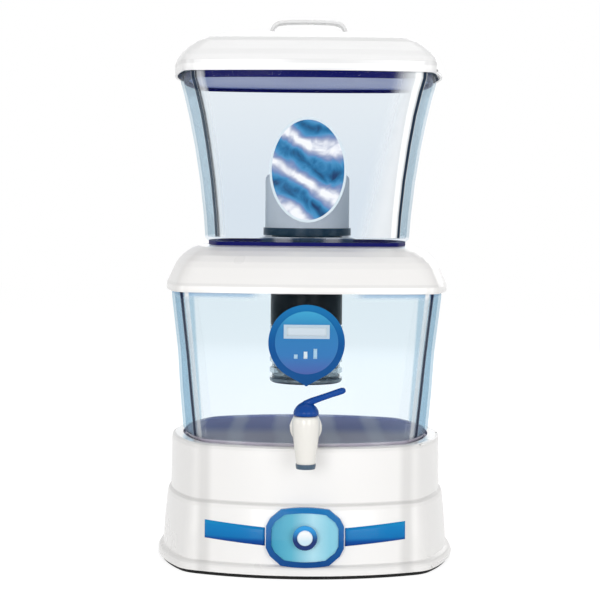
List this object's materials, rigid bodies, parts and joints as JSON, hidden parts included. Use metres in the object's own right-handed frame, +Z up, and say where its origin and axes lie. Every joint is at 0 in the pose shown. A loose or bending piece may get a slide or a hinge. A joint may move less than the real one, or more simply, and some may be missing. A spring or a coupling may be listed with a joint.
{
  "type": "gravity water filter with tap",
  "caption": "Stacked gravity water filter: clear upper tank with filter block, clear lower tank with hanging cartridge and lever tap, white lids and moulded base.",
  "frame": {"origin": "centre of the base's flat underside, which stands on a worktop", "axes": "+Z up; the tap and the front medallion face -Y; +X is to the right seen from the front"},
  "size_m": [0.322, 0.3425, 0.5836],
  "materials": {
    "white_plastic": "gloss white moulded plastic",
    "tap_white": "gloss white plastic",
    "black_plastic": "satin black plastic",
    "rubber_black": "black rubber",
    "rubber_navy": "navy sealing rubber",
    "steel": "bright screws",
    "lavender_plastic": "lavender blue moulded plastic",
    "clear_blue": "clear tinted food-grade plastic",
    "clear": "clear plastic",
    "blue_dark": "gloss dark blue plastic",
    "cyan": "pale cyan gloss plastic",
    "button_blue": "blue ring with a white dome",
    "stripe_blue": "blue gradient inlay",
    "badge_blue": "blue gradient label",
    "pale": "pale print",
    "label_print": null,
    "lever_blue": "gloss blue plastic",
    "valve_white": "natural plastic",
    "teal_dark": "dark teal plastic",
    "filter_white": "porous white filter block",
    "filter_grey": "grey plastic",
    "stone": "mixed mineral stones"
  },
  "bodies": {
    "base": {"base_shell": "white_plastic", "base_bottom_plate": "black_plastic", "base_foot_pads": "rubber_black", "base_screws": "steel", "seat_tray": "lavender_plastic", "medallion_frame": "blue_dark", "medallion_face": "cyan", "medallion_button": "button_blue", "stripe_left": "stripe_blue", "stripe_right": "stripe_blue"},
    "lower_tank": {"lower_tank": "clear_blue", "badge_plate": "blue_dark", "badge_face": "badge_blue", "badge_bar": "pale", "tap_body": "tap_white", "tap_outlet_ring": "teal_dark", "tap_outer_washer": "rubber_black", "tap_inner_washer": "rubber_black", "tap_back_nut": "tap_white"},
    "tap_lever": {"tap_lever": "lever_blue", "tap_valve_plug": "valve_white"},
    "collar": {"collar_lid": "white_plastic", "collar_seal": "rubber_navy"},
    "upper_tank": {"upper_tank": "clear_blue", "upper_tank_gasket": "rubber_navy", "upper_label_rim": "pale", "upper_label_face": "label_print", "filter_flange": "teal_dark", "filter_candle": "filter_white", "filter_stem": "filter_grey", "stem_washer": "rubber_black", "stem_nut": "black_plastic", "cartridge_cap": "black_plastic", "cartridge_body": "black_plastic", "cartridge_chamber": "clear", "mineral_stones": "stone", "cartridge_bottom": "black_plastic"},
    "upper_lid": {"upper_lid": "white_plastic", "upper_lid_plug": "lavender_plastic", "upper_lid_seal": "rubber_navy", "upper_lid_handle": "white_plastic"}
  },
  "joints": [
    {"name": "lower_tank_lift", "type": "slide", "parent": "base", "child": "lower_tank", "axis": [0, 0, 1], "range_m": [0, 0.03]},
    {"name": "tap_turn", "type": "hinge", "parent": "lower_tank", "child": "tap_lever", "pos_m": [0, -0.175, 0.171], "axis": [0, 0, 1], "range_deg": [-90, 0]},
    {"name": "collar_lift", "type": "slide", "parent": "lower_tank", "child": "collar", "axis": [0, 0, 1], "range_m": [0, 0.14]},
    {"name": "upper_tank_lift", "type": "slide", "parent": "collar", "child": "upper_tank", "axis": [0, 0, 1], "range_m": [0, 0.16]},
    {"name": "upper_lid_lift", "type": "slide", "parent": "upper_tank", "child": "upper_lid", "axis": [0, 0, 1], "range_m": [0, 0.06]}
  ]
}
